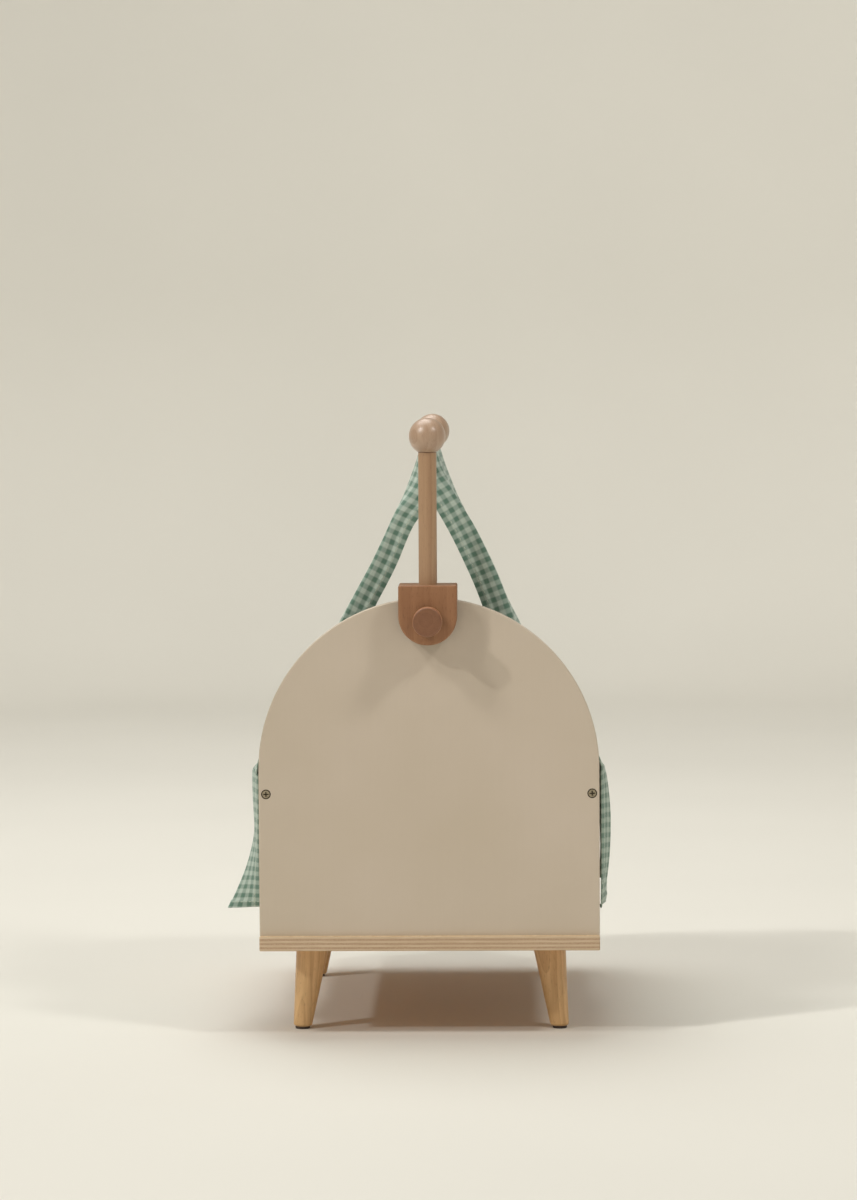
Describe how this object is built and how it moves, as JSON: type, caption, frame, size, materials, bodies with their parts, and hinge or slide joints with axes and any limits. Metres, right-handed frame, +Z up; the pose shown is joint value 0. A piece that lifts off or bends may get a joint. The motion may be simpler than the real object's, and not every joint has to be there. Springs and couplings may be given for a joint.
{
  "type": "doll bassinet on stand",
  "caption": "Doll-sized bassinet: arched head and foot boards and solid sides on a plywood base with splayed turned legs, and a clamp-on arm carrying a draped cloth canopy.",
  "frame": {"origin": "on the floor, under the middle of the whole model's box", "axes": "+Z up, -Y towards the head end with the clamp and its knob, +X to the right when seen from the head end"},
  "size_m": [0.3114, 0.4444, 0.5105],
  "materials": {
    "cream_paint": "cream satin paint on plywood",
    "birch_ply": "clear-lacquered birch plywood with layered edges",
    "turned_beech": "oiled beech, turned and sanded",
    "leg_wood": "clear-lacquered turned hardwood",
    "screw_steel": "dark bronze-grey plated steel",
    "zinc_steel": "bright zinc-plated steel",
    "insert_brass": "plain machined brass",
    "clamp_felt": "thin wool felt",
    "pad_rubber": "firm moulded rubber",
    "glide_plastic": "dark matte nylon",
    "gingham_cotton": "green and white gingham cotton, plain weave",
    "mattress_cotton": "off-white cotton cover over soft filling"
  },
  "bodies": {
    "bassinet": {"base_board": "birch_ply", "headboard": "cream_paint", "footboard": "cream_paint", "side_panel_left": "cream_paint", "side_panel_right": "cream_paint", "leg_head_left": "leg_wood", "leg_head_right": "leg_wood", "leg_foot_left": "leg_wood", "leg_foot_right": "leg_wood", "leg_glide_head_left": "glide_plastic", "leg_glide_head_right": "glide_plastic", "leg_glide_foot_left": "glide_plastic", "leg_glide_foot_right": "glide_plastic", "leg_hanger_bolts": "zinc_steel", "leg_tee_nuts": "zinc_steel", "headboard_screws": "screw_steel", "footboard_screws": "screw_steel", "base_screws": "screw_steel"},
    "mattress_pad": {"mattress": "mattress_cotton"},
    "canopy_arm": {"clamp_block": "turned_beech", "clamp_insert": "insert_brass", "clamp_liner": "clamp_felt", "canopy_post": "turned_beech", "canopy_post_screw": "screw_steel", "canopy_post_ball": "turned_beech", "canopy_bar": "turned_beech", "canopy_bar_end_ball": "turned_beech", "canopy": "gingham_cotton"},
    "pressure_pad": {"clamp_pad": "pad_rubber"},
    "screw_and_knob": {"clamp_screw": "zinc_steel", "clamp_knob": "turned_beech"}
  },
  "joints": [
    {"name": "mattress_lift_out", "type": "slide", "parent": "bassinet", "child": "mattress_pad", "axis": [0, 0, 1], "range_m": [0, 0.1]},
    {"name": "canopy_lift_off", "type": "slide", "parent": "bassinet", "child": "canopy_arm", "axis": [0, 0, 1], "range_m": [0, 0.06]},
    {"name": "clamp_pad_travel", "type": "slide", "parent": "canopy_arm", "child": "pressure_pad", "axis": [0, -1, 0], "range_m": [0, 0.007]},
    {"name": "clamp_knob_turn", "type": "hinge", "parent": "pressure_pad", "child": "screw_and_knob", "pos_m": [0, -0.20425, 0.3455], "axis": [0, -1, 0], "range_deg": [0, 2520]}
  ],
  "couplings": [
    {"joint": "clamp_pad_travel", "follows": "clamp_knob_turn", "m_per_rad": 0.000159}
  ]
}
